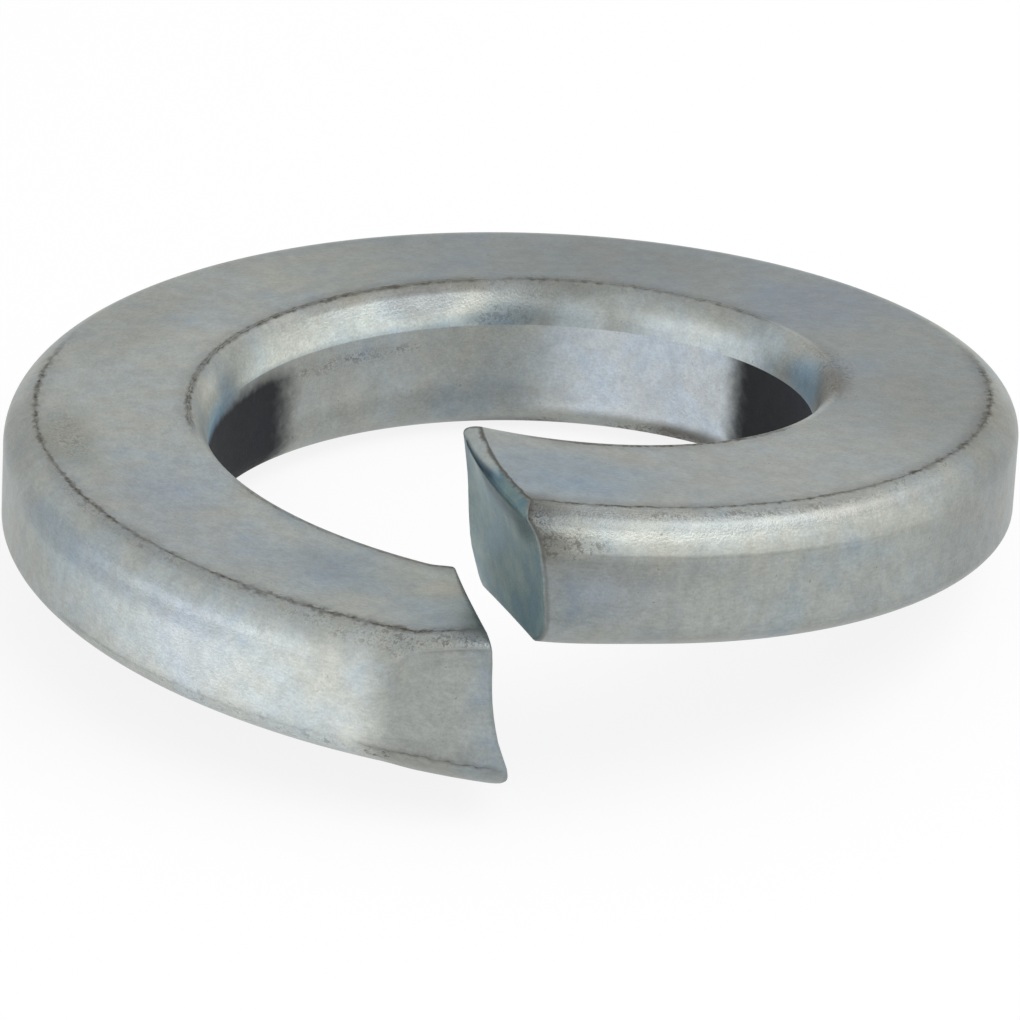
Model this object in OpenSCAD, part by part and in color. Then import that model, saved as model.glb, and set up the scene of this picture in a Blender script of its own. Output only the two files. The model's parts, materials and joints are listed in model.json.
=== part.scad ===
// Helical spring lock washer: one turn of tapered spring wire, cut across and sprung open.
// It lies as it settles on a flat surface, with its cut towards the front (-Y).
// In the coil's own frame the bore runs along Z, phi grows from the high end to the low end,
// and phi = 0 is the front.

/* [Wire] */
// Diameter of the bore
bore_d = 12.95; // [12.8:0.05:13.2]
// Width of the wire, from the bore to the rim
wire_w = 4.375; // [4.2:0.025:4.6]
// Thickness of the wire halfway between the bore and the rim
wire_t = 3.3; // [3.15:0.05:3.5]
// How much thicker the wire is at the bore than at the rim
wire_taper = 0.65; // [0.3:0.05:0.8]
// Angle by which the wire's faces dip towards the bore
wire_dip = 2.7; // [2:0.1:4]

/* [Long edges] */
// Width of the round at the top of the rim
rim_top_w = 0.6; // [0.4:0.05:0.9]
// Height of the round at the top of the rim
rim_top_h = 0.8; // [0.4:0.05:1]
// Width of the round at the foot of the rim
rim_foot_w = 1.2; // [0.6:0.05:1.4]
// Height of the round at the foot of the rim
rim_foot_h = 0.6; // [0.4:0.05:0.8]
// Width of the round at the top of the bore
bore_top_w = 0.42; // [0.3:0.02:0.8]
// Height of the round at the top of the bore
bore_top_h = 0.95; // [0.5:0.05:1]
// Width of the round at the foot of the bore
bore_foot_w = 0.8; // [0.4:0.05:1]
// Height of the round at the foot of the bore
bore_foot_h = 0.9; // [0.5:0.05:1]

/* [Coil] */
// Height that the wire climbs in its one turn
coil_rise = 3.25; // [2.9:0.05:3.6]
// Share of the climb that is bent into the two ends
end_kick = 0.4; // [0:0.05:0.5]

/* [Cut] */
// Gap between the planes of the two cuts, at the middle of the wire
cut_gap = 0.4; // [0.3:0.01:0.8]
// Angle of the high end's cut away from the radius
high_skew = 20; // [12:1:22]
// Angle of the high end's cut away from upright
high_lean = 8; // [6:1:12]
// Angle of the low end's cut away from the radius
low_skew = 10.5; // [8:0.5:14]
// Angle of the low end's cut away from upright
low_lean = 8; // [4:1:10]
// How far back the shear rolled the top edge of the high end
high_roll = 0.42; // [0.2:0.02:0.5]
// How far back the shear rolled the foot edge of the low end
low_roll = 0.3; // [0.2:0.02:0.5]
// Depth of those rolled edges
roll_depth = 0.3; // [0.2:0.02:0.4]
// Radius broken on the other edges of both cuts
edge_break = 0.05; // [0.04:0.01:0.1]

/* [Ends] */
// Width and height of the round at the foot of the rim, at the high end
high_rim_foot = 0.75; // [0.5:0.05:1]
// Width of the round at the foot of the bore, at the high end
high_bore_foot_w = 0.15; // [0.1:0.01:0.4]
// Height of the round at the foot of the bore, at the high end
high_bore_foot_h = 0.25; // [0.15:0.01:0.5]
// Width of the round at the top of the rim, at the low end
low_rim_top_w = 0.4; // [0.3:0.05:0.6]
// Height of the round at the top of the rim, at the low end
low_rim_top_h = 0.27; // [0.2:0.01:0.6]
// Width of the round at the foot of the rim, at the low end
low_rim_foot_w = 1; // [0.8:0.05:1.2]
// Width of the round at the top of the bore, at the low end
low_bore_top_w = 0.3; // [0.25:0.05:0.5]
// Height of the round at the top of the bore, at the low end
low_bore_top_h = 0.6; // [0.4:0.05:1]
// Height of the lip that the shear raised at the low end's rim
lip_h = 0.45; // [0:0.05:0.6]
// How far the shear pressed the low end's rim down at the foot
foot_drop = 0.04; // [0:0.01:0.1]

/* [Hidden] */

bore_r = bore_d / 2;
rim_r = bore_r + wire_w;
mid_r = bore_r + wire_w / 2;

// How far the swept wire runs past the bore and the rim, which two true cylinders then trim
trim_over = 0.08;
// Angle of the crease between a face and its round
crease = 20;
// Angles of the points on a round, and the last of them, from which a straight run goes to the trim
last_angle = 75;
round_angles = [crease:11:last_angle];
// Points between the rounds of the top and foot faces, as shares of the width
face_steps = [0.3, 0.5, 0.7];
// Angles of the wire's sections along its one turn, closer together where its ends change
turn_angles = concat(
    [for (a = [0:2:18]) a],
    [for (a = [20:5:345]) a],
    [for (a = [346:1.5:352]) a],
    [354, 357, 360]
);
// Sizes of the loops that close each cut face, as shares of the wire's section
cap_steps = [0.3, 0.6, 0.78, 0.85, 0.91, 0.96, 0.99];
// Angles between which the high end's section changes into the wire's own
high_change = [4, 20];
// Angles before the low end between which the wire's section changes into the end's
low_change = [13, 8.5];
// Angle over which the lip rises to the low end
lip_turn = 14;
// Crease angles on both sides of the edge that the shear rolled
roll_from = 30;
roll_to = 68;

// How far the cuts bend from their planes, by height as a share of half the wire's thickness
high_rim_bend = [[-1, -0.17], [-0.55, -0.04], [-0.15, 0.02], [0.4, 0.025], [0.63, -0.01],
    [0.85, -0.1], [1.06, -0.22]];
high_bore_bend = [[-1.26, 0.08], [-0.9, 0], [-0.65, -0.06], [-0.25, -0.05], [0.27, 0.01],
    [0.67, 0.01], [1.15, -0.03]];
high_middle_bend = [[-1, 0.1], [0, 0], [0.5, -0.12], [1, -0.28]];
low_rim_bend = [[-1, -0.45], [-0.85, -0.13], [-0.7, 0.13], [-0.48, 0.18], [-0.22, 0.05],
    [0.05, -0.01], [0.25, -0.02], [0.5, 0.01], [0.73, 0.05], [1.03, 0.03]];

// Angle from the front at which the foot of the wire first touches, and the radius it touches on
touch_phi = 1.5;
touch_r = bore_r + bore_foot_w;
// Height of the centre of mass over the surface that the washer lies on
settled_h = 0.79 * wire_t;
// Slopes of that surface in the coil's frame: it meets the low end and the middle of the turn
back_slope = coil_rise / 4 / touch_r;
turn_slope = coil_rise * (1 - end_kick) / 2 / PI / touch_r;
// Turn from the middle at which it touches, so that the washer balances between its two contacts
touch_turn = (2 * settled_h * turn_slope + touch_r * sin(touch_phi)) /
    (touch_r - 2 * settled_h * back_slope);
side_slope = turn_slope + back_slope * touch_turn;
// Turns about X and then Y that lay the washer down
lay_x = -atan(back_slope);
lay_y = atan(side_slope * cos(lay_x));

// Clamps a value between two limits
function clamp(v, low, high) = min(max(v, low), high);

// Smooth step from 0 to 1
function ease(v) = let (t = clamp(v, 0, 1)) t * t * (3 - 2 * t);

// Height of the middle of the wire, from +coil_rise/2 at the high end to the same below
function coil_z(phi) = let (x = 1 - phi / 180)
    coil_rise / 2 * ((1 - end_kick) * x + end_kick * pow(x, 3));

// How far a round has gone across and down at an angle, as shares of its width and height
function share_across(a) = (sin(a) - sin(crease)) / (1 - sin(crease));
function share_down(a) = 1 - cos(a) / cos(crease);

// Points on one long edge's round, as [radius, depth below the face]
function round_points(wall_r, way, w, h) = let (
        reach = trim_over + w * (1 - share_across(last_angle)),
        steep = h / w * tan(last_angle) * (1 - sin(crease)) / cos(crease)
    ) concat(
        [for (a = round_angles) [wall_r - way * w * (1 - share_across(a)), h * share_down(a)]],
        [[wall_r + way * trim_over, h * share_down(last_angle) + steep * reach]]
    );

// Points across the flat of a face
function face_points(from, to) = [for (s = face_steps) [from + (to - from) * s, 0]];

// Height of the top face, or of the foot face where side is -1, above the middle of the wire
function face_z(r, side) = side * (wire_t + wire_taper * (mid_r - r) / wire_w) / 2
    - tan(wire_dip) * (mid_r - r);

// A section point as [radius, height above the middle of the wire, 1 at the top or -1 at the foot]
function placed(p, side) = [p[0], face_z(p[0], side) - side * p[1], side];

function reversed(list) = [for (i = [len(list) - 1:-1:0]) list[i]];

// A section of the wire from its four rounds, clockwise from the bore with the radius to the right
function section(bore_top, rim_top, rim_foot, bore_foot) = concat(
    [for (p = reversed(bore_top)) placed(p, 1)],
    [for (p = face_points(bore_top[0][0], rim_top[0][0])) placed(p, 1)],
    [for (p = rim_top) placed(p, 1)],
    [for (p = reversed(rim_foot)) placed(p, -1)],
    [for (p = face_points(rim_foot[0][0], bore_foot[0][0])) placed(p, -1)],
    [for (p = bore_foot) placed(p, -1)]
);

function rim_round(w, h) = round_points(rim_r, 1, w, h);
function bore_round(w, h) = round_points(bore_r, -1, w, h);

wire_section = section(
    bore_round(bore_top_w, bore_top_h), rim_round(rim_top_w, rim_top_h),
    rim_round(rim_foot_w, rim_foot_h), bore_round(bore_foot_w, bore_foot_h)
);
high_section = section(
    bore_round(bore_top_w, bore_top_h), rim_round(rim_top_w, rim_top_h),
    rim_round(high_rim_foot, high_rim_foot), bore_round(high_bore_foot_w, high_bore_foot_h)
);
low_section = section(
    bore_round(low_bore_top_w, low_bore_top_h), rim_round(low_rim_top_w, low_rim_top_h),
    rim_round(low_rim_foot_w, rim_foot_h), bore_round(bore_foot_w, bore_foot_h)
);
sides = len(wire_section);

// How much of each end's section the wire has at an angle
function high_share(phi) = 1 - ease((phi - high_change[0]) / (high_change[1] - high_change[0]));
function low_share(phi) = ease((phi - 360 + low_change[0]) / (low_change[0] - low_change[1]));

// Setback of an edge that is broken round the cut of a section shrunk to a share
function broken(share) = let (q = clamp(1 - (1 - share) * wire_t / 2 / edge_break, 0, 1))
    edge_break * (1 - sqrt(1 - q * q));

// Setback of a rolled edge at a depth below the face that it runs along
function rolled(run, depth) = let (
        down = clamp(depth / roll_depth, 0, 1),
        a = acos(cos(roll_from) - down * (cos(roll_from) - cos(roll_to)))
    ) run * (1 - (sin(a) - sin(roll_from)) / (sin(roll_to) - sin(roll_from)));

// Angle at which the wire ends at a section point [radius, height] shrunk to a share
function high_phi(p, share) = let (
        r = mid_r + (p[0] - mid_r) * share,
        z = p[1] * share,
        u = (r - bore_r) / wire_w,
        t = z / (wire_t / 2),
        bend = lookup(t, high_rim_bend) * u + lookup(t, high_bore_bend) * (1 - u)
            + lookup(t, high_middle_bend) * 4 * u * (1 - u),
        back = max(broken(share), rolled(high_roll, face_z(r, 1) - z)),
        x = (r - mid_r) * tan(high_skew) - z * tan(high_lean) + bend + back
    ) asin(x / r);

function low_phi(p, share) = let (
        r = mid_r + (p[0] - mid_r) * share,
        z = p[1] * share,
        bend = lookup(z / (wire_t / 2), low_rim_bend) * (r - bore_r) / wire_w,
        back = max(broken(share), rolled(low_roll, z - face_z(r, -1))),
        x = (r - mid_r) * tan(low_skew) - z * tan(low_lean) - cut_gap + bend - back
    ) 360 + asin(x / r);

// How far the shear moved the low end's faces up or down at its rim
function sheared_z(phi, r, side) = side > 0
    ? lip_h * ease((phi - 360 + lip_turn) / lip_turn) * clamp((r - bore_r) / wire_w, 0, 1)
    : -foot_drop * ease((phi - 360 + low_change[0]) / low_change[0]) * clamp(2 * (r - mid_r) / wire_w, 0, 1);

// A point of the coil from its angle, radius and height above the middle of the wire
function coil_point(phi, r, z) = [r * sin(phi), -r * cos(phi), coil_z(phi) + z];

// A loop of points around the wire, along its turn by a share, and shrunk to a share of the section
function wire_loop(along, share) = [for (i = [0:sides - 1]) let (
        start = high_phi(high_section[i], share),
        phi = start + (low_phi(low_section[i], share) - start) * along,
        p = wire_section[i]
            + (high_section[i] - wire_section[i]) * high_share(phi)
            + (low_section[i] - wire_section[i]) * low_share(phi),
        r = mid_r + (p[0] - mid_r) * share
    ) coil_point(phi, r, (p[1] + sheared_z(phi, r, p[2])) * share)];

loops = concat(
    [for (share = cap_steps) wire_loop(0, share)],
    [for (a = turn_angles) wire_loop(a / 360, 1)],
    [for (share = reversed(cap_steps)) wire_loop(1, share)]
);
high_tip = coil_point(high_phi([mid_r, 0], 1), mid_r, 0);
low_tip = coil_point(low_phi([mid_r, 0], 1), mid_r, 0);
points = concat([high_tip], [for (ring = loops) each ring], [low_tip]);
last_loop = len(loops) - 1;

// Number of a point from its loop and its place in that loop
function at(loop, i) = 1 + loop * sides + i % sides;

faces = concat(
    [for (i = [0:sides - 1]) [0, at(0, i), at(0, i + 1)]],
    [for (k = [0:last_loop - 1]) for (i = [0:sides - 1]) each [
        [at(k, i), at(k + 1, i), at(k + 1, i + 1)],
        [at(k, i), at(k + 1, i + 1), at(k, i + 1)]
    ]],
    [for (i = [0:sides - 1]) [len(points) - 1, at(last_loop, i + 1), at(last_loop, i)]]
);

// Where a point of the coil goes when the washer is laid down about the bore's middle
function laid(p) = let (
        y = p[1] * cos(lay_x) - p[2] * sin(lay_x),
        z = p[1] * sin(lay_x) + p[2] * cos(lay_x)
    ) [p[0] * cos(lay_y) + z * sin(lay_y), y, z * cos(lay_y) - p[0] * sin(lay_y)];

laid_points = [for (p = points) laid(p)];
laid_x = [for (p = laid_points) p[0]];
laid_y = [for (p = laid_points) p[1]];
laid_z = [for (p = laid_points) p[2]];
// Shift that puts the laid washer on the surface, with the middle of its outline over the origin
bore_place = [-(min(laid_x) + max(laid_x)) / 2, -(min(laid_y) + max(laid_y)) / 2, -min(laid_z)];

module swept_wire() {
    polyhedron(points = points, faces = faces, convexity = 6);
}

// The true bore and rim, taller than the coil
module trim_ring() {
    tall = 4 * wire_t;
    difference() {
        cylinder(r = rim_r, h = tall, center = true, $fn = 180);
        cylinder(r = bore_r, h = tall + 1, center = true, $fn = 180);
    }
}

module spring_washer() {
    color([0.6, 0.63, 0.63])
        translate(bore_place)
            rotate([lay_x, lay_y, 0])
                intersection() {
                    swept_wire();
                    trim_ring();
                }
}

spring_washer();
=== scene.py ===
"""Spring lock washer, zinc plated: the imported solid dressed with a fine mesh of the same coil.

Lengths are in millimetres until a mesh or a lamp is made, and then in metres.
The coil's own frame has its bore along Z. phi runs anticlockwise seen from above,
from the high end at the front (0 degrees) round to the low end (360 degrees).
"""
import json
import math

import bpy
import numpy as np
from mathutils import Euler, Matrix, Vector


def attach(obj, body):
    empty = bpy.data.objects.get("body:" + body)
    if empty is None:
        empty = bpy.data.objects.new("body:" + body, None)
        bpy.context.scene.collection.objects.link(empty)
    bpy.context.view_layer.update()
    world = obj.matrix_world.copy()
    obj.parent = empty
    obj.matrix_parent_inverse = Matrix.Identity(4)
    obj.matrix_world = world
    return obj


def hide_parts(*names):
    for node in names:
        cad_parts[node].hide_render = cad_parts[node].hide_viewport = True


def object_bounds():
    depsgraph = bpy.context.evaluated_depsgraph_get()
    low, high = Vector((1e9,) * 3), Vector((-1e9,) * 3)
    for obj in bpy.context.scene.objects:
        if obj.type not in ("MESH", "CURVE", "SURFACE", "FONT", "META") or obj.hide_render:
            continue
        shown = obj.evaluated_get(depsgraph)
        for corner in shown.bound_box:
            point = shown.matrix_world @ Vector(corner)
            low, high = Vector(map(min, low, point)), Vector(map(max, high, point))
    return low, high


MM = 0.001
MM_PER_DEGREE = 0.151

# Wire, as in the part's source
WIRE_W = 4.375
WIRE_T = 3.3
WIRE_TAPER = 0.65
WIRE_DIP = math.radians(2.7)
COIL_RISE = 3.25
END_KICK = 0.4

# Long edges: width across the wire and height
RIM_TOP = (0.6, 0.8)
RIM_FOOT = (1.2, 0.6)
BORE_TOP = (0.42, 0.95)
BORE_FOOT = (0.8, 0.9)
CREASE_ANGLE = math.radians(20)

# Long edges at the two ends, and the angles over which the wire changes into them
HIGH_RIM_FOOT = (0.75, 0.75)
HIGH_BORE_FOOT = (0.15, 0.25)
HIGH_CHANGE = (4.0, 20.0)
LOW_RIM_TOP = (0.4, 0.27)
LOW_RIM_FOOT = (1.0, 0.6)
LOW_BORE_TOP = (0.3, 0.6)
LOW_CHANGE = (13.0, 8.5)
LIP_H = 0.45
LIP_TURN = 14.0
FOOT_DROP = 0.04

# Cut across the wire
CUT_GAP = 0.4
HIGH_SKEW = math.radians(20)
HIGH_LEAN = math.radians(8)
LOW_SKEW = math.radians(10.5)
LOW_LEAN = math.radians(8)
HIGH_ROLL = 0.42
LOW_ROLL = 0.3
ROLL_DEPTH = 0.3
ROLL_FROM = math.radians(30)
ROLL_TO = math.radians(68)
EDGE_BREAK = 0.05

# How far the cuts bend from their planes, by height as a share of half the wire's thickness
HIGH_RIM_BEND = ((-1, -0.17), (-0.55, -0.04), (-0.15, 0.02), (0.4, 0.025), (0.63, -0.01), (0.85, -0.1),
                 (1.06, -0.22))
HIGH_BORE_BEND = ((-1.26, 0.08), (-0.9, 0), (-0.65, -0.06), (-0.25, -0.05), (0.27, 0.01), (0.67, 0.01),
                  (1.15, -0.03))
HIGH_MIDDLE_BEND = ((-1, 0.1), (0, 0), (0.5, -0.12), (1, -0.28))
LOW_RIM_BEND = ((-1, -0.45), (-0.85, -0.13), (-0.7, 0.13), (-0.48, 0.18), (-0.22, 0.05), (0.05, -0.01),
                (0.25, -0.02), (0.5, 0.01), (0.73, 0.05), (1.03, 0.03))

# Steps of the fine mesh
TURN_STEPS = 640
FACE_POINTS = 26
FOOT_POINTS = 12
WALL_POINTS = 10
TOP_ROUND_POINTS = 20
FOOT_ROUND_POINTS = 16
CREASE_GUARD = 0.02
CAP_SHARES = (0.2, 0.4, 0.56, 0.68, 0.76, 0.82, 0.86, 0.9, 0.93, 0.955, 0.975, 0.99)

# Camera
CAMERA_DISTANCE = 146.15
CAMERA_ELEVATION = math.radians(28.07)
CAMERA_AZIMUTH = math.radians(-1.47)
CAMERA_ROLL = math.radians(-0.25)
CAMERA_AIM = (0.033, -0.398, 1.690)
CAMERA_LENS = 239.94

# Surroundings
FLOOR_HALF = 600
FLOOR_GREY = (0.85, 0.85, 0.85, 1.0)
FLOOR_WHITE = 0.85
WORLD_LIGHT = 0.75

# Lamps: name, place, width and height, watts
LAMP_AIM = (0, 0, 3)
LAMPS = (
    ("key_softbox", (95, -35, 165), (240, 110), 0.24),
    ("left_softbox", (-185, -70, 30), (160, 40), 0.05),
)

# Places around the wire's section, in millimetres from the top of the bore wall
BORE_CREASE = 1.07
BORE_EDGE = 1.13
RIM_CREASE = 4.37
RIM_WALL = 5.51
FOOT_CREASE = 7.08
BORE_WALL = 12.19
CREASES = (BORE_CREASE, BORE_EDGE, RIM_CREASE, RIM_WALL, FOOT_CREASE)
CREASE_REACH = 0.45

# Noises of the plate: scale for each millimetre, detail, roughness
CLOUD_NOISE = (0.8, 4, 0.6)
MOTTLE_NOISE = (2.4, 4, 0.7)
WANDER_NOISE = (4.5, 1, 0.5)
BREAK_NOISE = (5.0, 2, 0.5)
CRUMB_NOISE = (7.0, 3, 0.75)
GRAIN_NOISE = (18.0, 3, 0.7)
PIT_NOISE = (20.0, 2, 0.65)
GRAIN_LENGTH = 0.4

# Turn over which the marks of the high end give way to those of the low end
HIGH_MARKS = (60.0, 90.0)
# Seam under the high end's rolled edge: its run around the wire, its depths there and its half width
SEAM_RUN = (1.2, 3.6)
SEAM_DEPTHS = (0.3, 0.16)
SEAM_HALF = 0.12
# How far lines wander, in millimetres
LINE_WANDER = 0.02
EDGE_WANDER = 0.012

ZINC = (151, 157, 156)
ZINC_WARM = (154, 157, 152)
ZINC_BLUE = (140, 153, 163)
CUT_TEAL = (154, 172, 170)
CUT_BLUE = (126, 152, 162)
SEAM = (0.16, 0.25, 0.32, 1.0)
# Colour factor of the painted shade under the high end's rolled edge
PAINTED_ROLL_SHADE = (0.3, 0.38, 0.41, 1.0)
GRIME = (58, 53, 46)
# Colour of the painted dark reflections on the bore wall
PAINTED_DARK_REFLECTION = (36, 37, 41)

# Tints of whole stretches of the wire, partly the plate's own tone and partly painted highlights, painted
# shade
# and painted reflections: first and last turn, fades there, from and to around, fade, colour factor
TINT_AND_PAINTED_LIGHT_STRETCHES = (
    (290, 349.5, 42, 5, 4.55, 8.2, 1.2, (1.87, 1.87, 1.91)),
    (347, 363, 2, 1, 5.3, 7.2, 0.2, (1.04, 1.05, 1.07)),
    (288, 336, 8, 12, 4.9, 5.9, 0.3, (0.78, 0.8, 0.84)),
    (3, 66, 4, 20, 4.95, 5.6, 0.15, (1.32, 1.3, 1.27)),
    (6, 44, 6, 16, 5.05, 5.55, 0.12, (1.2, 1.2, 1.2)),
    (-2, 50, 3, 14, 4.4, 4.85, 0.2, (0.74, 0.73, 0.73)),
    (2, 34, 2, 22, 4.6, 5.05, 0.12, (0.8, 0.8, 0.81)),
    (24, 66, 14, 20, 4.6, 5.1, 0.2, (1.15, 1.12, 1.12)),
    (52, 80, 8, 8, 4.9, 7.3, 0.4, (0.9, 0.9, 0.91)),
    (-20, 62, 5, 30, 1.1, 4.4, 0.1, (0.91, 0.91, 0.92)),
    (36, 250, 50, 55, 1.1, 4.4, 0.1, (0.66, 0.69, 0.73)),
    (172, 252, 22, 14, -0.5, 0.85, 0.6, (2.6, 2.56, 2.5)),
    (180, 232, 10, 16, 0.72, 1.12, 0.1, (0.6, 0.58, 0.57)),
    (118, 168, 14, 24, -0.8, 0.75, 0.7, (2.05, 2.1, 2.25)),
    (186, 264, 10, 10, -0.3, 0.16, 0.16, (0.72, 0.76, 0.8)),
    (186, 264, 10, 10, 14.1, 14.7, 0.25, (0.8, 0.84, 0.9)),
    (127, 182, 8, 20, 11.8, 14.3, 0.3, (1.85, 1.9, 2.12)),
    (186, 236, 20, 10, 12.3, 14.3, 0.3, (1.2, 1.19, 1.2)),
    (-2, 14, 1, 10, 5.5, 7.3, 0.2, (0.79, 0.8, 0.82)),
    (5, 30, 5, 14, 5.45, 6.3, 0.2, (0.9, 0.88, 0.86)),
    (14, 64, 8, 20, 5.5, 7.3, 0.2, (1.08, 1.1, 1.13)),
)

# Tinted spots, partly the plate's own tone and partly painted highlights, painted shade and painted
# reflections:
# turn and place around of the middle, half sizes, softness, colour factor
TINT_AND_PAINTED_LIGHT_SPOTS = (
    (355, 3.9, 5, 0.5, 0.6, (0.8, 0.84, 0.88)),
    (347, 2.1, 8, 0.7, 0.5, (1.15, 1.1, 1.02)),
    (339, 2.3, 9, 0.9, 0.5, (0.78, 0.85, 0.95)),
    (352, 3.0, 5, 0.5, 0.5, (0.9, 0.96, 1.03)),
    (330, 3.1, 8, 1.2, 0.6, (0.9, 0.92, 0.96)),
    (310, 3.3, 12, 1.3, 0.6, (0.92, 0.93, 0.97)),
    (300, 2.4, 7, 1.3, 0.6, (0.94, 0.97, 1.04)),
    (298, 3.6, 7, 0.7, 0.6, (0.98, 0.96, 0.92)),
    (284, 3.8, 8, 0.6, 0.5, (0.85, 0.84, 0.8)),
    (245, 3.6, 14, 1.0, 0.6, (0.86, 0.85, 0.83)),
    (210, 2.7, 14, 1.4, 0.6, (1.15, 1.11, 1.03)),
    (165, 2.8, 16, 1.6, 0.6, (0.89, 0.88, 0.86)),
    (130, 2.8, 10, 1.5, 0.6, (0.9, 0.94, 1.04)),
    (110, 3.1, 12, 1.2, 0.6, (1.06, 1.03, 0.98)),
    (82, 3.2, 14, 1.5, 0.7, (1.0, 0.97, 0.91)),
    (8, 2.9, 12, 1.1, 0.5, (0.83, 0.93, 1.06)),
    (19, 2.0, 5, 0.45, 0.4, (1.05, 1.0, 0.95)),
    (361, 3.7, 5, 0.9, 0.5, (0.55, 0.64, 0.62)),
    (358.5, 4.6, 3.2, 0.6, 0.4, (0.66, 0.69, 0.73)),
    (324, 6.1, 5, 0.9, 0.6, (0.97, 1.0, 1.08)),
    (300, 5.6, 6, 0.6, 0.5, (0.93, 1.0, 1.07)),
    (308, 5.9, 6, 1.0, 0.6, (0.96, 1.0, 1.06)),
    (344, 5.7, 6, 0.6, 0.6, (0.95, 0.94, 0.92)),
    (5, 5.0, 6, 0.4, 0.5, (0.76, 0.76, 0.76)),
    (280, 4.95, 9, 0.4, 0.6, (0.76, 0.77, 0.78)),
    (27, 6.1, 7, 0.6, 0.6, (1.02, 0.99, 0.95)),
    (12, 6.4, 5, 0.5, 0.6, (0.94, 0.97, 1.06)),
    (0, 5.4, 7, 0.45, 0.35, (0.62, 0.6, 0.58)),
    (2, 4.6, 4, 0.5, 0.6, (0.6, 0.58, 0.55)),
    (76, 4.8, 12, 0.6, 0.5, (0.78, 0.77, 0.75)),
    (182, 0.15, 7, 0.35, 0.5, (0.63, 0.69, 0.76)),
    (190, 0.05, 10, 0.2, 0.6, (0.7, 0.76, 0.82)),
    (167, 0.1, 5, 0.4, 0.5, (1.4, 1.45, 1.55)),
    (122, 0.4, 6, 0.45, 0.5, (1.12, 1.18, 1.28)),
    (199, 0.6, 8, 0.35, 0.5, (0.65, 0.67, 0.73)),
    (176, 0.85, 12, 0.25, 0.5, (0.7, 0.7, 0.7)),
    (103, 0.4, 9, 0.45, 0.5, (0.74, 0.95, 1.2)),
    (88, 0.8, 12, 0.45, 0.5, (0.55, 0.52, 0.5)),
    (262, 0.45, 7, 0.4, 0.6, (1.45, 1.36, 1.27)),
    (188, 12.2, 12, 0.5, 0.6, (0.8, 0.83, 0.88)),
    (145, 11.5, 7, 0.45, 0.5, (0.42, 0.38, 0.36)),
    (138, 11.6, 4, 0.4, 0.6, (0.6, 0.6, 0.6)),
    (180, 11.3, 10, 0.3, 0.5, (0.55, 0.55, 0.56)),
    (266, 0.3, 16, 0.5, 0.5, (1.3, 1.32, 1.34)),
    (268, 14.1, 18, 0.6, 0.5, (0.6, 0.95, 1.3)),
    (268, 0.05, 16, 0.25, 0.6, (0.65, 0.85, 1.02)),
    (103, 14.1, 14, 0.6, 0.5, (0.74, 1.0, 1.3)),
)

# Grime in the creases: place around, half width, first and last turn, fade in degrees, strength
GRIME_LINES = (
    (RIM_CREASE, 0.13, 246, 346, 20, 1.0),
    (RIM_CREASE, 0.2, 322, 362, 8, 1.0),
    (RIM_CREASE, 0.1, -2, 60, 6, 1.0),
    (RIM_CREASE, 0.15, 40, 112, 16, 1.0),
    (BORE_CREASE, 0.08, 120, 190, 12, 0.85),
    (BORE_CREASE, 0.09, 180, 290, 12, 0.95),
    (BORE_CREASE, 0.14, 148, 190, 10, 0.45),
    (BORE_CREASE, 0.1, 78, 114, 8, 0.5),
    (FOOT_CREASE, 0.05, 300, 346, 6, 0.4),
    (FOOT_CREASE, 0.04, 344, 362, 2, 0.75),
    (FOOT_CREASE, 0.05, -2, 70, 6, 0.12),
    (RIM_WALL, 0.05, -2, 44, 10, 0.22),
    (RIM_WALL, 0.06, 350, 362, 4, 0.4),
    (BORE_EDGE, 0.1, -2, 62, 12, 1.0),
    (BORE_EDGE, 0.06, 300, 362, 12, 0.8),
)

# Gritty places: turn and place around of the middle, half sizes, softness, strength
GRIT_SPOTS = (
    (349, 4.6, 15, 0.4, 0.5, 0.65),
    (355, 5.0, 8, 0.4, 0.4, 0.7),
    (358, 4.6, 5, 0.5, 0.4, 0.75),
    (0, 4.8, 4.2, 0.75, 0.4, 1.0),
    (284, 3.9, 9, 0.5, 0.6, 0.5),
    (183, 0.2, 7, 0.35, 0.5, 0.5),
    (215, 13.5, 22, 0.12, 0.5, 0.7),
    (150, 11.5, 12, 0.3, 0.5, 0.9),
    (173, 11.4, 5, 0.25, 0.5, 0.7),
    (332, 7.2, 20, 0.25, 0.5, 0.5),
    (347, 7.2, 2.5, 0.15, 0.4, 1.0),
    (168, 1.1, 22, 0.25, 0.6, 0.6),
    (94, 1.1, 18, 0.35, 0.6, 0.7),
    (60, 4.4, 16, 0.25, 0.6, 0.7),
    (30, 4.6, 30, 0.15, 0.6, 0.5),
    (6, 5.4, 6, 0.3, 0.5, 0.7),
    (316, 4.5, 26, 0.15, 0.6, 0.6),
)

# Painted dark reflections on the bore wall: first and last turn, fades there, from and to around, fade
PAINTED_REFLECTION_STRETCHES = (
    (222, 310, 15, 30, 10.0, 14.1, 0.6),
    (70, 137, 25, 12, 10.0, 14.5, 0.5),
)


def ease(t):
    t = np.clip(t, 0.0, 1.0)
    return t * t * (3.0 - 2.0 * t)


def curve(t, knots):
    """A smooth curve through a few (place, value) knots."""
    place, value = np.array(knots, float).T
    slope = np.gradient(value, place)
    t = np.clip(t, place[0], place[-1])
    i = np.clip(np.searchsorted(place, t) - 1, 0, len(place) - 2)
    span = place[i + 1] - place[i]
    u = (t - place[i]) / span
    return (value[i] * (1 + 2 * u) * (1 - u)**2 + value[i + 1] * u * u * (3 - 2 * u)
            + span * u * (1 - u) * (slope[i] * (1 - u) - slope[i + 1] * u))


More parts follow.
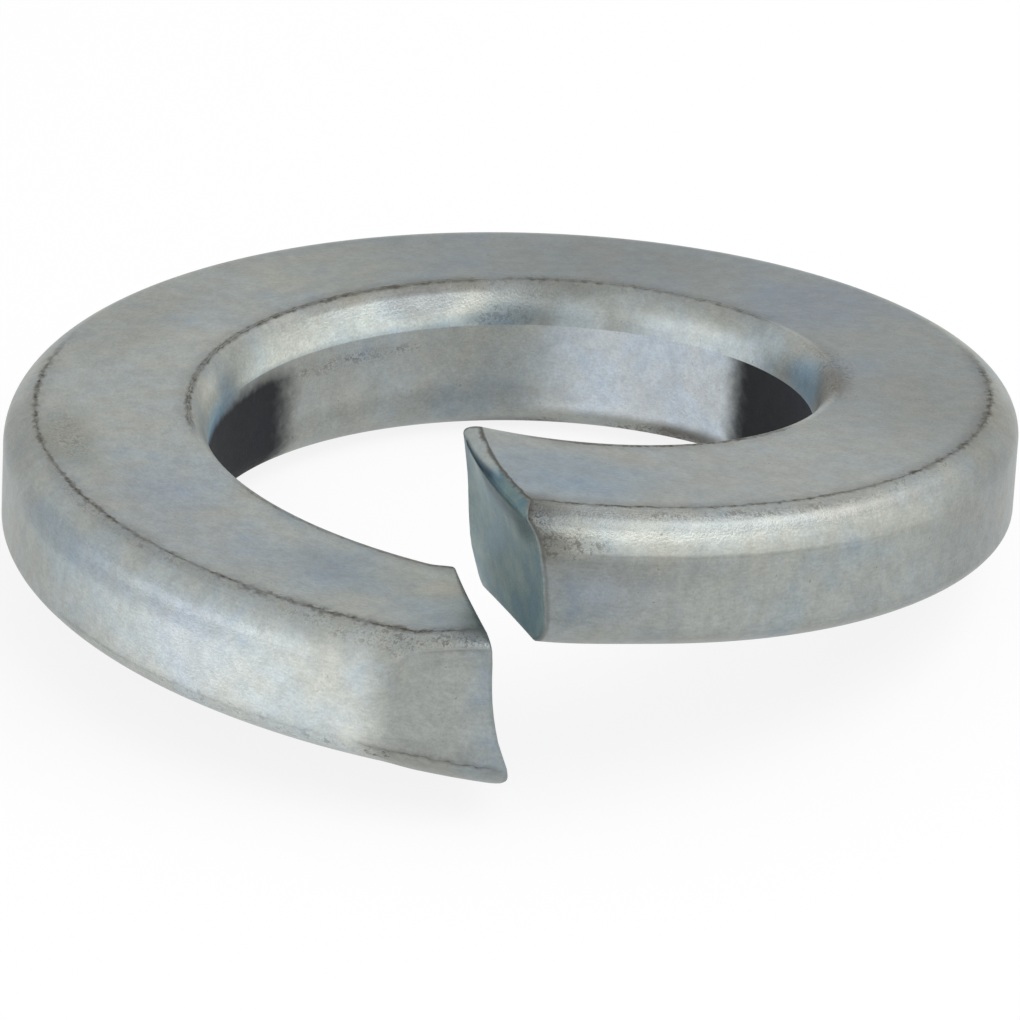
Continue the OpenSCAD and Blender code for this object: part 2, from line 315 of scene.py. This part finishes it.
class Coil:
    """Where the coil's own frame lies, from the record's bore mount, and its radii.

    The lowest height is the solid's, in metres.
    """

    def __init__(self, record, lowest):
        self.lowest = lowest
        bore = next(m for m in record["mounts"] if m["name"] == "bore")
        axis = np.array(bore["axis"], float)
        axis /= np.linalg.norm(axis)
        lay_x = -math.asin(axis[1])
        lay_y = math.atan2(axis[0], axis[2])
        about_x = np.array([
            [1, 0, 0],
            [0, math.cos(lay_x), -math.sin(lay_x)],
            [0, math.sin(lay_x), math.cos(lay_x)],
        ])
        about_y = np.array([
            [math.cos(lay_y), 0, math.sin(lay_y)],
            [0, 1, 0],
            [-math.sin(lay_y), 0, math.cos(lay_y)],
        ])
        self.turn = about_y @ about_x
        self.place = np.array(bore["pos_m"], float) / MM
        self.bore_r = bore["dims"]["r_mm"]
        self.rim_r = self.bore_r + WIRE_W
        self.mid_r = self.bore_r + WIRE_W / 2

    def laid(self, points):
        """Points of the coil's frame where they lie in the part's frame, none below the solid, in metres."""
        placed = (points @ self.turn.T + self.place) * MM
        placed[:, 2] = np.maximum(placed[:, 2], self.lowest)
        return placed

    def width_share(self, r):
        return (r - self.bore_r) / WIRE_W

    def face_z(self, r, side):
        """Height of the top face, or the foot face where side is -1, above the middle of the wire."""
        half = (WIRE_T + WIRE_TAPER * (self.mid_r - r) / WIRE_W) / 2
        return side * half - math.tan(WIRE_DIP) * (self.mid_r - r)


def coil_z(phi):
    x = 1.0 - phi / 180.0
    return COIL_RISE / 2 * ((1.0 - END_KICK) * x + END_KICK * x**3)


def round_run(wall_r, way, size, count):
    """One long edge's round from the face to the wall: radii and depths below the face."""
    width, height = size
    a = np.linspace(CREASE_ANGLE, math.pi / 2, count)
    across = (np.sin(a) - math.sin(CREASE_ANGLE)) / (1.0 - math.sin(CREASE_ANGLE))
    down = 1.0 - np.cos(a) / math.cos(CREASE_ANGLE)
    return wall_r - way * width * (1.0 - across), height * down


def even_run(start, end, count):
    """Points between two creases, with one close to each so that the creases stay crisp."""
    guard = CREASE_GUARD / abs(end - start)
    shares = np.concatenate([[guard], np.linspace(0, 1, count)[1:-1], [1 - guard]])
    return start + (end - start) * shares


class Section:
    """The wire's section, clockwise from the top of the bore wall.

    Each point has its radius, its height above the middle, and upper: 1 at the top face, 0 at the foot.
    """

    def __init__(self, coil, bore_top, rim_top, rim_foot, bore_foot):
        self.radius, self.height, self.upper = [], [], []
        self.creases = {}
        bore_top = round_run(coil.bore_r, -1, bore_top, TOP_ROUND_POINTS)
        rim_top = round_run(coil.rim_r, 1, rim_top, TOP_ROUND_POINTS)
        rim_foot = round_run(coil.rim_r, 1, rim_foot, FOOT_ROUND_POINTS)
        bore_foot = round_run(coil.bore_r, -1, bore_foot, FOOT_ROUND_POINTS)

        self.add_round(coil, bore_top[0][::-1], bore_top[1][::-1], 1)
        self.creases["bore_top"] = len(self.radius) - 1
        self.add_face(coil, bore_top[0][0], rim_top[0][0], FACE_POINTS, 1)
        self.creases["rim_top"] = len(self.radius)
        self.add_round(coil, *rim_top, 1)
        self.creases["rim_wall"] = len(self.radius) - 1
        rim_end = coil.face_z(rim_foot[0][-1], -1) + rim_foot[1][-1]
        self.add_wall(coil.rim_r, rim_end, -1)
        self.creases["rim_foot"] = len(self.radius)
        self.add_round(coil, rim_foot[0][::-1], rim_foot[1][::-1], -1)
        self.add_face(coil, rim_foot[0][0], bore_foot[0][0], FOOT_POINTS, -1)
        self.add_round(coil, *bore_foot, -1)
        self.creases["bore_foot"] = len(self.radius) - 1
        self.add_wall(coil.bore_r, self.height[0], 1)
        self.radius, self.height, self.upper = map(np.array, (self.radius, self.height, self.upper))

    def add_round(self, coil, radius, depth, side):
        self.radius.extend(radius)
        self.height.extend(coil.face_z(radius, side) - side * depth)
        self.upper.extend([(1 + side) / 2] * len(radius))

    def add_face(self, coil, start, end, count, side):
        radius = even_run(start, end, count)
        self.add_round(coil, radius, np.zeros(len(radius)), side)

    def add_wall(self, radius, end, way):
        height = even_run(self.height[-1], end, WALL_POINTS)
        share = (height - self.height[-1]) / (end - self.height[-1])
        self.radius.extend([radius] * len(height))
        self.height.extend(height)
        self.upper.extend(share if way > 0 else 1 - share)

    def around(self):
        """Distance of each point along the section from its first, and the whole way round."""
        r = np.append(self.radius, self.radius[0])
        z = np.append(self.height, self.height[0])
        return np.concatenate([[0.0], np.cumsum(np.hypot(np.diff(r), np.diff(z)))])


class Wire:
    """The wire's own section and the sections at its two ends, with the cuts that stop it."""

    def __init__(self, coil):
        self.coil = coil
        self.main = Section(coil, BORE_TOP, RIM_TOP, RIM_FOOT, BORE_FOOT)
        self.high = Section(coil, BORE_TOP, RIM_TOP, HIGH_RIM_FOOT, HIGH_BORE_FOOT)
        self.low = Section(coil, LOW_BORE_TOP, LOW_RIM_TOP, LOW_RIM_FOOT, BORE_FOOT)
        self.count = len(self.main.radius)

    def shrunk(self, section, share):
        return self.coil.mid_r + (section.radius - self.coil.mid_r) * share, section.height * share

    def high_phi(self, share):
        """Angle at which the high end stops, at the section shrunk to a share."""
        r, z = self.shrunk(self.high, share)
        u = self.coil.width_share(r)
        t = z / (WIRE_T / 2)
        bend = (curve(t, HIGH_RIM_BEND) * u + curve(t, HIGH_BORE_BEND) * (1 - u)
                + curve(t, HIGH_MIDDLE_BEND) * 4 * u * (1 - u))
        back = np.maximum(broken(share), rolled(HIGH_ROLL, self.coil.face_z(r, 1) - z))
        x = (r - self.coil.mid_r) * math.tan(HIGH_SKEW) - z * math.tan(HIGH_LEAN) + bend + back
        return np.degrees(np.arcsin(x / r))

    def low_phi(self, share):
        """Angle at which the low end stops, at the section shrunk to a share."""
        r, z = self.shrunk(self.low, share)
        bend = curve(z / (WIRE_T / 2), LOW_RIM_BEND) * self.coil.width_share(r)
        back = np.maximum(broken(share), rolled(LOW_ROLL, z - self.coil.face_z(r, -1)))
        x = (r - self.coil.mid_r) * math.tan(LOW_SKEW) - z * math.tan(LOW_LEAN) - CUT_GAP + bend - back
        return 360.0 + np.degrees(np.arcsin(x / r))

    def loop(self, along, share):
        """A loop of points round the wire: along its turn by a share, shrunk to a share of the section."""
        start = self.high_phi(share)
        phi = start + (self.low_phi(share) - start) * along
        high = 1 - ease((phi - HIGH_CHANGE[0]) / (HIGH_CHANGE[1] - HIGH_CHANGE[0]))
        low = ease((phi - 360 + LOW_CHANGE[0]) / (LOW_CHANGE[0] - LOW_CHANGE[1]))
        main = 1 - high - low
        radius = self.main.radius * main + self.high.radius * high + self.low.radius * low
        height = self.main.height * main + self.high.height * high + self.low.height * low
        r = self.coil.mid_r + (radius - self.coil.mid_r) * share
        u = self.coil.width_share(r)
        lip = LIP_H * ease((phi - 360 + LIP_TURN) / LIP_TURN) * np.clip(u, 0, 1)
        drop = FOOT_DROP * ease((phi - 360 + LOW_CHANGE[0]) / LOW_CHANGE[0]) * np.clip(2 * u - 1, 0, 1)
        z = (height + lip * self.main.upper - drop * (1 - self.main.upper)) * share
        turn = np.radians(phi)
        return np.stack([r * np.sin(turn), -r * np.cos(turn), coil_z(phi) + z], -1), phi


def broken(share):
    """Setback of an edge that is broken round the cut of a section shrunk to a share."""
    q = np.clip(1.0 - (1.0 - share) * WIRE_T / 2 / EDGE_BREAK, 0.0, 1.0)
    return EDGE_BREAK * (1.0 - np.sqrt(1.0 - q * q))


def rolled(run, depth):
    """Setback of a rolled edge at a depth below the face that it runs along."""
    down = np.clip(depth / ROLL_DEPTH, 0.0, 1.0)
    a = np.arccos(math.cos(ROLL_FROM) - down * (math.cos(ROLL_FROM) - math.cos(ROLL_TO)))
    return run * (1.0 - (np.sin(a) - math.sin(ROLL_FROM)) / (math.sin(ROLL_TO) - math.sin(ROLL_FROM)))


def window(x, start, end, fade_in, fade_out):
    """1 between start and end, with a fade inside each of them."""
    return ease((x - start) / fade_in) * ease((end - x) / fade_out)


def oval(turn, around, row):
    """1 inside an oval spot on the unrolled wire, 0 outside, with a soft edge."""
    at_turn, at_around, half_turn, half_around, soft = row
    reach = np.hypot((turn - at_turn) / half_turn, (around - at_around) / half_around)
    return ease((1 + soft - reach) / (2 * soft))


def marks_and_painted_light(turn, around, depth):
    """The plate's tints with painted highlights, painted shade and painted reflections among them, its grit,
    the painted dark reflections in the bore and the creases with grime in them, at each point of the mesh.
    """
    body = (depth <= 0).astype(float)
    # Tints of the plate, with painted highlights, painted shade and painted reflections among them
    tint_and_painted_light = np.ones((len(turn), 3))
    for first, last, fade_in, fade_out, low, high, fade, factor in TINT_AND_PAINTED_LIGHT_STRETCHES:
        share = window(turn, first, last, fade_in, fade_out) * window(around, low, high, fade, fade) * body
        tint_and_painted_light *= 1 + share[:, None] * (np.array(factor) - 1)
    for *row, factor in TINT_AND_PAINTED_LIGHT_SPOTS:
        tint_and_painted_light *= 1 + (oval(turn, around, row) * body)[:, None] * (np.array(factor) - 1)
    grit = np.max([oval(turn, around, row) * strength for *row, strength in GRIT_SPOTS], axis=0) * body
    # Painted dark reflections on the bore wall
    soot = np.zeros(len(turn))
    for first, last, fade_in, fade_out, low, high, fade in PAINTED_REFLECTION_STRETCHES:
        share = window(turn, first, last, fade_in, fade_out)
        share *= window(around, low, high, BORE_WALL - low, fade)
        soot = np.maximum(soot, share * body)

    grime, width = np.zeros(len(turn)), np.full(len(turn), 0.05)
    for at_around, half_width, first, last, fade, strength in GRIME_LINES:
        near = np.abs(around - at_around) < CREASE_REACH
        here = window(turn, first, last, fade, fade) * strength * near * body
        width = np.where(here > grime, half_width, width)
        grime = np.maximum(here, grime)
    marks = {"grit": grit, "soot": soot, "crease_grime": grime, "crease_width": width}
    marks.update({f"tint_{name}": tint_and_painted_light[:, k] for k, name in enumerate(("red", "green", "blue"))})
    return marks


def build_wire(wire):
    """The mesh, with the angle along the turn, the way around the section and the depth into a cut.

    On the wire's sides the depth is the distance from the nearer cut, below zero.
    """
    count = wire.count
    steps = [(0.0, s) for s in CAP_SHARES]
    steps += [(i / TURN_STEPS, 1.0) for i in range(TURN_STEPS + 1)]
    steps += [(1.0, s) for s in reversed(CAP_SHARES)]
    loops = [wire.loop(along, share) for along, share in steps]
    points = [loop for loop, _ in loops]
    tips = [loop.mean(axis=0) for loop in (points[0], points[-1])]
    turn = np.concatenate([phi for _, phi in loops] + [[0.0, 360.0]])
    first = len(CAP_SHARES)
    depth = []
    for (along, share), (_, phi) in zip(steps, loops):
        if 0 < along < 1:
            from_cut = np.minimum(phi - loops[first][1], loops[-1 - first][1] - phi)
            depth.append(-from_cut * MM_PER_DEGREE)
        else:
            depth.append(np.full(count, (1.0 - share) * WIRE_T / 2))
    depth = np.concatenate(depth + [[WIRE_T / 2, WIRE_T / 2]])

    faces, way = [], []
    around = wire.main.around()
    last = len(loops) - 1
    for k in range(last):
        for i in range(count):
            j = (i + 1) % count
            faces.append((k * count + i, (k + 1) * count + i, (k + 1) * count + j, k * count + j))
            way.extend((around[i], around[i], around[i + 1], around[i + 1]))
    high_tip = len(loops) * count
    for i in range(count):
        j = (i + 1) % count
        middle = (around[i] + around[i + 1]) / 2
        faces.append((high_tip, i, j))
        way.extend((middle, around[i], around[i + 1]))
        faces.append((high_tip + 1, last * count + j, last * count + i))
        way.extend((middle, around[i + 1], around[i]))

    mesh = bpy.data.meshes.new("washer_wire")
    mesh.from_pydata(wire.coil.laid(np.concatenate(points + [np.array(tips)])).tolist(), [], faces)
    mesh.attributes.new("turn", "FLOAT", "POINT").data.foreach_set("value", turn)
    mesh.attributes.new("cut_depth", "FLOAT", "POINT").data.foreach_set("value", depth)
    marks = marks_and_painted_light(turn, np.append(np.tile(around[:-1], len(loops)), [0.0, 0.0]), depth)
    for name, values in marks.items():
        mesh.attributes.new(name, "FLOAT", "POINT").data.foreach_set("value", values)
    mesh.attributes.new("around", "FLOAT", "CORNER").data.foreach_set("value", np.array(way))
    mesh.polygons.foreach_set("use_smooth", [True] * len(mesh.polygons))
    piece = bpy.data.objects.new("washer_wire", mesh)
    bpy.context.scene.collection.objects.link(piece)
    return piece


def tone(screen):
    """A linear colour from three screen values of 0 to 255."""
    share = [c / 255 for c in screen]
    return tuple(c / 12.92 if c <= 0.04045 else ((c + 0.055) / 1.055)**2.4 for c in share) + (1.0,)


class Nodes:
    """Adds nodes to one tree and links them; an input may be a number, a colour or another node's output."""

    def __init__(self, tree):
        self.tree = tree

    def feed(self, socket, value):
        if isinstance(value, bpy.types.NodeSocket):
            self.tree.links.new(value, socket)
        else:
            socket.default_value = value

    def math(self, operation, *values):
        node = self.tree.nodes.new("ShaderNodeMath")
        node.operation = operation
        for socket, value in zip(node.inputs, values):
            self.feed(socket, value)
        return node.outputs[0]

    def fade(self, value, start, end, low=0.0, high=1.0):
        """Goes smoothly from low to high while value goes from start to end."""
        node = self.tree.nodes.new("ShaderNodeMapRange")
        node.interpolation_type = "SMOOTHSTEP"
        settings = {"Value": value, "From Min": start, "From Max": end, "To Min": low, "To Max": high}
        for name, setting in settings.items():
            self.feed(node.inputs[name], setting)
        return node.outputs["Result"]

    def fade_out(self, value, start, end):
        return self.fade(value, start, end, 1.0, 0.0)

    def times(self, *values):
        product = values[0]
        for value in values[1:]:
            product = self.math("MULTIPLY", product, value)
        return product

    def highest(self, *values):
        top = values[0]
        for value in values[1:]:
            top = self.math("MAXIMUM", top, value)
        return top

    def attribute(self, name):
        node = self.tree.nodes.new("ShaderNodeAttribute")
        node.attribute_name = name
        return node.outputs["Fac"]

    def vector(self, x, y, z):
        node = self.tree.nodes.new("ShaderNodeCombineXYZ")
        for socket, value in zip(node.inputs, (x, y, z)):
            self.feed(socket, value)
        return node.outputs["Vector"]

    def position(self):
        """Place on the washer, in millimetres."""
        node = self.tree.nodes.new("ShaderNodeVectorMath")
        node.operation = "SCALE"
        self.feed(node.inputs[0], self.tree.nodes.new("ShaderNodeTexCoord").outputs["Object"])
        node.inputs["Scale"].default_value = 1 / MM
        return node.outputs[0]

    def noise(self, place, scale, detail=2.0, roughness=0.5):
        node = self.tree.nodes.new("ShaderNodeTexNoise")
        self.feed(node.inputs["Vector"], place)
        for name, value in (("Scale", scale), ("Detail", detail), ("Roughness", roughness)):
            node.inputs[name].default_value = value
        return node.outputs["Fac"]

    def blend(self, under, over, share, way="MIX"):
        """Lays one colour over another by a share."""
        node = self.tree.nodes.new("ShaderNodeMix")
        node.data_type = "RGBA"
        node.blend_type = way
        self.feed(node.inputs["Factor"], share)
        self.feed(node.inputs["A"], under)
        self.feed(node.inputs["B"], over)
        return node.outputs["Result"]


class Plate(Nodes):
    """The layers of the washer's plate, with the measures and noises that they share."""

    def __init__(self, tree):
        super().__init__(tree)
        self.turn = self.attribute("turn")
        self.around = self.attribute("around")
        self.depth = self.attribute("cut_depth")
        self.on_cut = self.fade(self.depth, 0.0, EDGE_BREAK)
        place = self.position()
        along = self.times(self.turn, MM_PER_DEGREE, GRAIN_LENGTH)
        drawn = self.vector(along, self.around, self.math("MAXIMUM", self.depth, 0.0))
        self.cloud = self.noise(place, *CLOUD_NOISE)
        self.mottle = self.noise(place, *MOTTLE_NOISE)
        self.crumbs = self.noise(place, *CRUMB_NOISE)
        self.pits = self.noise(place, *PIT_NOISE)
        self.grain = self.noise(drawn, *GRAIN_NOISE)
        self.wander = self.fade(self.noise(place, *WANDER_NOISE), 0.25, 0.75, -1.0, 1.0)
        self.breaks = self.fade(self.noise(place, *BREAK_NOISE), 0.35, 0.62, 0.3, 1.4)

    def zinc(self):
        """Cloudy zinc with its tints, which hold painted highlights, painted shade and painted reflections as
        well as the plate's own tone.
        """
        colour = self.blend(tone(ZINC), tone(ZINC_WARM), self.fade(self.cloud, 0.4, 0.6))
        colour = self.blend(colour, tone(ZINC_BLUE), self.fade(self.cloud, 0.4, 0.25, 0.0, 0.7))
        tint_and_painted_light = self.vector(*(self.attribute(f"tint_{name}") for name in ("red", "green", "blue")))
        return self.blend(colour, tint_and_painted_light, 1.0, "MULTIPLY")

    def with_cuts(self, colour):
        """Sheared faces of the two ends, with the seam and painted shade under the high end's rolled edge."""
        patches = self.math("ADD", self.cloud, self.times(self.mottle, 0.6))
        teal = self.blend(tone(CUT_TEAL), tone(CUT_BLUE), self.fade(patches, 0.68, 0.88))
        high_top = self.times(self.fade_out(self.turn, *HIGH_MARKS), self.fade(self.around, 0.6, 1.0))
        past_seam = self.math("SUBTRACT", self.depth, self.fade(self.around, *SEAM_RUN, *SEAM_DEPTHS))
        rolled = self.times(high_top, self.fade_out(self.around, 2.6, 3.2),
                            self.fade_out(past_seam, -0.05, 0.03), self.on_cut)
        sheared = self.math("MULTIPLY_ADD", rolled, -0.75, self.times(self.on_cut, 0.9))
        colour = self.blend(colour, teal, sheared)

        # Painted shade under the high end's rolled edge and at its corner
        roll_shade_reach = self.highest(self.fade(past_seam, -0.04, 0.04), self.fade(self.around, 2.9, 3.5, 0.0, 0.85))
        painted_roll_shade = self.times(self.fade(self.around, 1.6, 2.4), self.fade_out(self.around, 5.0, 5.6), high_top,
                           self.on_cut, roll_shade_reach, self.fade(self.depth, 0.45, 1.0, 0.95, 0.0))
        off_seam = self.math("ABSOLUTE", past_seam)
        seam = self.times(self.fade_out(off_seam, 0.02, SEAM_HALF),
                          self.fade_out(self.around, 2.9, 3.6), high_top)
        colour = self.blend(colour, PAINTED_ROLL_SHADE, painted_roll_shade, "MULTIPLY")
        return self.blend(colour, SEAM, seam, "MULTIPLY")

    def crease_lines(self):
        """Broken dark lines in the creases, each with a faint halo."""
        shifted = self.math("ADD", self.around, self.times(self.wander, LINE_WANDER))
        off_crease = CREASE_REACH
        for crease in CREASES:
            off = self.math("ABSOLUTE", self.math("SUBTRACT", shifted, crease))
            off_crease = self.math("MINIMUM", off_crease, off)
        width = self.times(self.attribute("crease_width"), self.breaks)
        line = self.times(self.fade_out(off_crease, 0.0, width), self.fade(self.mottle, 0.38, 0.55, 0.7, 1.0),
                          self.fade(self.crumbs, 0.35, 0.6, 0.6, 1.0))
        halo = self.highest(self.fade(off_crease, 0.0, 0.13, 0.5, 0.0),
                            self.fade(off_crease, 0.0, 0.4, 0.22, 0.0))
        return self.times(self.highest(line, halo), self.attribute("crease_grime"))

    def grit(self):
        specks = self.highest(self.fade(self.pits, 0.5, 0.64, 0.0, 0.8), self.fade(self.crumbs, 0.5, 0.6))
        return self.times(specks, self.attribute("grit"), self.fade(self.mottle, 0.36, 0.58, 0.35, 0.85))

    def cut_edges(self):
        """Dark lines along the edges of both cuts, strongest at the high end's top."""
        shifted = self.math("SUBTRACT", self.depth, self.times(self.wander, EDGE_WANDER))
        off_edge = self.math("ABSOLUTE", shifted)
        width = self.fade(self.mottle, 0.35, 0.65, 0.04, 0.08)
        line = self.fade(off_edge, 0.0, width, self.fade(self.turn, *HIGH_MARKS, 0.95, 0.35), 0.0)
        at_top = self.fade(self.around, 4.2, 4.8, 0.9, 0.4)
        at_bore = self.fade(self.around, BORE_WALL - 0.5, BORE_WALL, 0.0, 0.8)
        return self.times(line, self.highest(at_top, at_bore))

    def grime(self):
        flecks = self.times(self.fade(self.crumbs, 0.62, 0.74), self.fade(self.cloud, 0.38, 0.6, 0.1, 0.4))
        return self.highest(self.crease_lines(), self.grit(), self.cut_edges(), flecks)

    # Painted dark reflection in the bore, with a ragged edge
    def soot(self):
        ragged = self.math("ADD", self.attribute("soot"), self.times(self.wander, 0.06))
        return self.fade(ragged, 0.05, 0.95, 0.0, 0.98)

    def uneven(self, colour):
        """Fine light and dark of the grain, the pits and the mottle."""
        fine = self.math("ADD", self.fade(self.grain, 0.25, 0.75, -0.07, 0.07),
                         self.fade(self.pits, 0.25, 0.75, 0.93, 1.07))
        shade = self.times(fine, self.fade(self.mottle, 0.3, 0.7, 0.92, 1.08),
                           self.fade(self.crumbs, 0.3, 0.7, 0.95, 1.05))
        return self.blend(colour, self.vector(shade, shade, shade), 1.0, "MULTIPLY")


def zinc_plate():
    """Dull zinc plate over drawn wire, with painted highlights, shade and reflections among its tints, grime
    in the creases, painted dark reflections in the bore and bluish cut faces.
    """
    material = bpy.data.materials.new("zinc_plate")
    material.use_nodes = True
    plate = Plate(material.node_tree)
    grime, soot = plate.grime(), plate.soot()
    colour = plate.with_cuts(plate.zinc())
    colour = plate.blend(colour, tone(GRIME), grime)
    # Painted dark reflections in the bore are laid over the zinc here
    colour = plate.uneven(plate.blend(colour, tone(PAINTED_DARK_REFLECTION), soot))
    dull = plate.highest(grime, soot)
    roughness = plate.math("ADD", plate.fade(plate.pits, 0.3, 0.7, 0.4, 0.5), plate.times(dull, 0.3))

    shader = material.node_tree.nodes["Principled BSDF"]
    plate.feed(shader.inputs["Base Color"], colour)
    plate.feed(shader.inputs["Metallic"], plate.fade(dull, 0.0, 1.0, 0.92, 0.0))
    plate.feed(shader.inputs["Roughness"], roughness)
    shader.inputs["Specular IOR Level"].default_value = 0.15
    bump = material.node_tree.nodes.new("ShaderNodeBump")
    bump.inputs["Strength"].default_value = 0.3
    bump.inputs["Distance"].default_value = 0.03 * MM
    plate.feed(bump.inputs["Height"], plate.math("ADD", plate.pits, plate.times(plate.grain, 0.4)))
    plate.feed(shader.inputs["Normal"], bump.outputs["Normal"])
    return material


def seen_directly(nodes):
    """1 where the camera, a mirror image or a clear piece shows the surroundings, 0 where they give light."""
    path = nodes.tree.nodes.new("ShaderNodeLightPath").outputs
    seen = nodes.math("MAXIMUM", path["Is Camera Ray"], path["Is Glossy Ray"])
    return nodes.math("MAXIMUM", seen, path["Is Transmission Ray"])


def build_floor():
    """A white floor that shows as plain white but keeps a light shadow under the washer."""
    mesh = bpy.data.meshes.new("floor")
    half = FLOOR_HALF * MM
    corners = [(-half, -half, 0), (half, -half, 0), (half, half, 0), (-half, half, 0)]
    mesh.from_pydata(corners, [], [(0, 1, 2, 3)])
    floor = bpy.data.objects.new("floor", mesh)
    bpy.context.scene.collection.objects.link(floor)
    material = bpy.data.materials.new("white_floor")
    material.use_nodes = True
    nodes = Nodes(material.node_tree)
    shader = material.node_tree.nodes["Principled BSDF"]
    shader.inputs["Base Color"].default_value = FLOOR_GREY
    shader.inputs["Roughness"].default_value = 0.9
    shader.inputs["Specular IOR Level"].default_value = 0.1
    white = material.node_tree.nodes.new("ShaderNodeEmission")
    white.inputs["Strength"].default_value = 1.0
    mix = material.node_tree.nodes.new("ShaderNodeMixShader")
    nodes.feed(mix.inputs[0], nodes.times(seen_directly(nodes), FLOOR_WHITE))
    nodes.feed(mix.inputs[1], shader.outputs[0])
    nodes.feed(mix.inputs[2], white.outputs[0])
    nodes.feed(material.node_tree.nodes["Material Output"].inputs["Surface"], mix.outputs[0])
    mesh.materials.append(material)


def add_lamp(name, place, size, power):
    light = bpy.data.lights.new(name, "AREA")
    light.shape = "RECTANGLE"
    light.size = size[0] * MM
    light.size_y = size[1] * MM
    light.energy = power
    lamp = bpy.data.objects.new(name, light)
    lamp.location = [c * MM for c in place]
    way = Vector(LAMP_AIM) - Vector(place)
    lamp.rotation_euler = way.to_track_quat("-Z", "Y").to_euler()
    bpy.context.scene.collection.objects.link(lamp)


def build_camera():
    camera = bpy.data.objects.new("camera", bpy.data.cameras.new("camera"))
    camera.data.lens = CAMERA_LENS
    camera.data.sensor_width = 36
    camera.data.clip_start = 1 * MM
    look = np.array([
        math.sin(CAMERA_AZIMUTH) * math.cos(CAMERA_ELEVATION),
        math.cos(CAMERA_AZIMUTH) * math.cos(CAMERA_ELEVATION),
        -math.sin(CAMERA_ELEVATION),
    ])
    camera.location = (np.array(CAMERA_AIM) - look * CAMERA_DISTANCE) * MM
    level = Euler((math.pi / 2 - CAMERA_ELEVATION, 0, -CAMERA_AZIMUTH)).to_matrix()
    camera.rotation_euler = (level @ Matrix.Rotation(CAMERA_ROLL, 3, "Z")).to_euler()
    bpy.context.scene.collection.objects.link(camera)
    bpy.context.scene.camera = camera


def build_world():
    """Even light from all round, which shows as plain white."""
    world = bpy.data.worlds.new("studio")
    bpy.context.scene.world = world
    world.use_nodes = True
    nodes = Nodes(world.node_tree)
    background = world.node_tree.nodes["Background"]
    background.inputs["Color"].default_value = (1, 1, 1, 1)
    nodes.feed(background.inputs["Strength"], nodes.fade(seen_directly(nodes), 0.0, 1.0, WORLD_LIGHT, 1.0))


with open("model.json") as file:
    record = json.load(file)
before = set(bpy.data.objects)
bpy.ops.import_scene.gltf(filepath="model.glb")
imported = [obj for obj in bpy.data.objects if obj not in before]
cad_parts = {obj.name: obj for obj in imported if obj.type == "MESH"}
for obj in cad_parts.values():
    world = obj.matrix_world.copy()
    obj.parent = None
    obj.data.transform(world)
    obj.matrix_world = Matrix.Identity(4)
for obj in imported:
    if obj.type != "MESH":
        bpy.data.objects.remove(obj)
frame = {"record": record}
cad_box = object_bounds()
washer = build_wire(Wire(Coil(frame["record"], cad_box[0][2])))
washer.data.materials.append(zinc_plate())
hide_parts("spring_washer")
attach(washer, "root")

build_floor()
build_camera()
build_world()
for lamp_row in LAMPS:
    add_lamp(*lamp_row)

bpy.context.scene.view_settings.view_transform = "Standard"
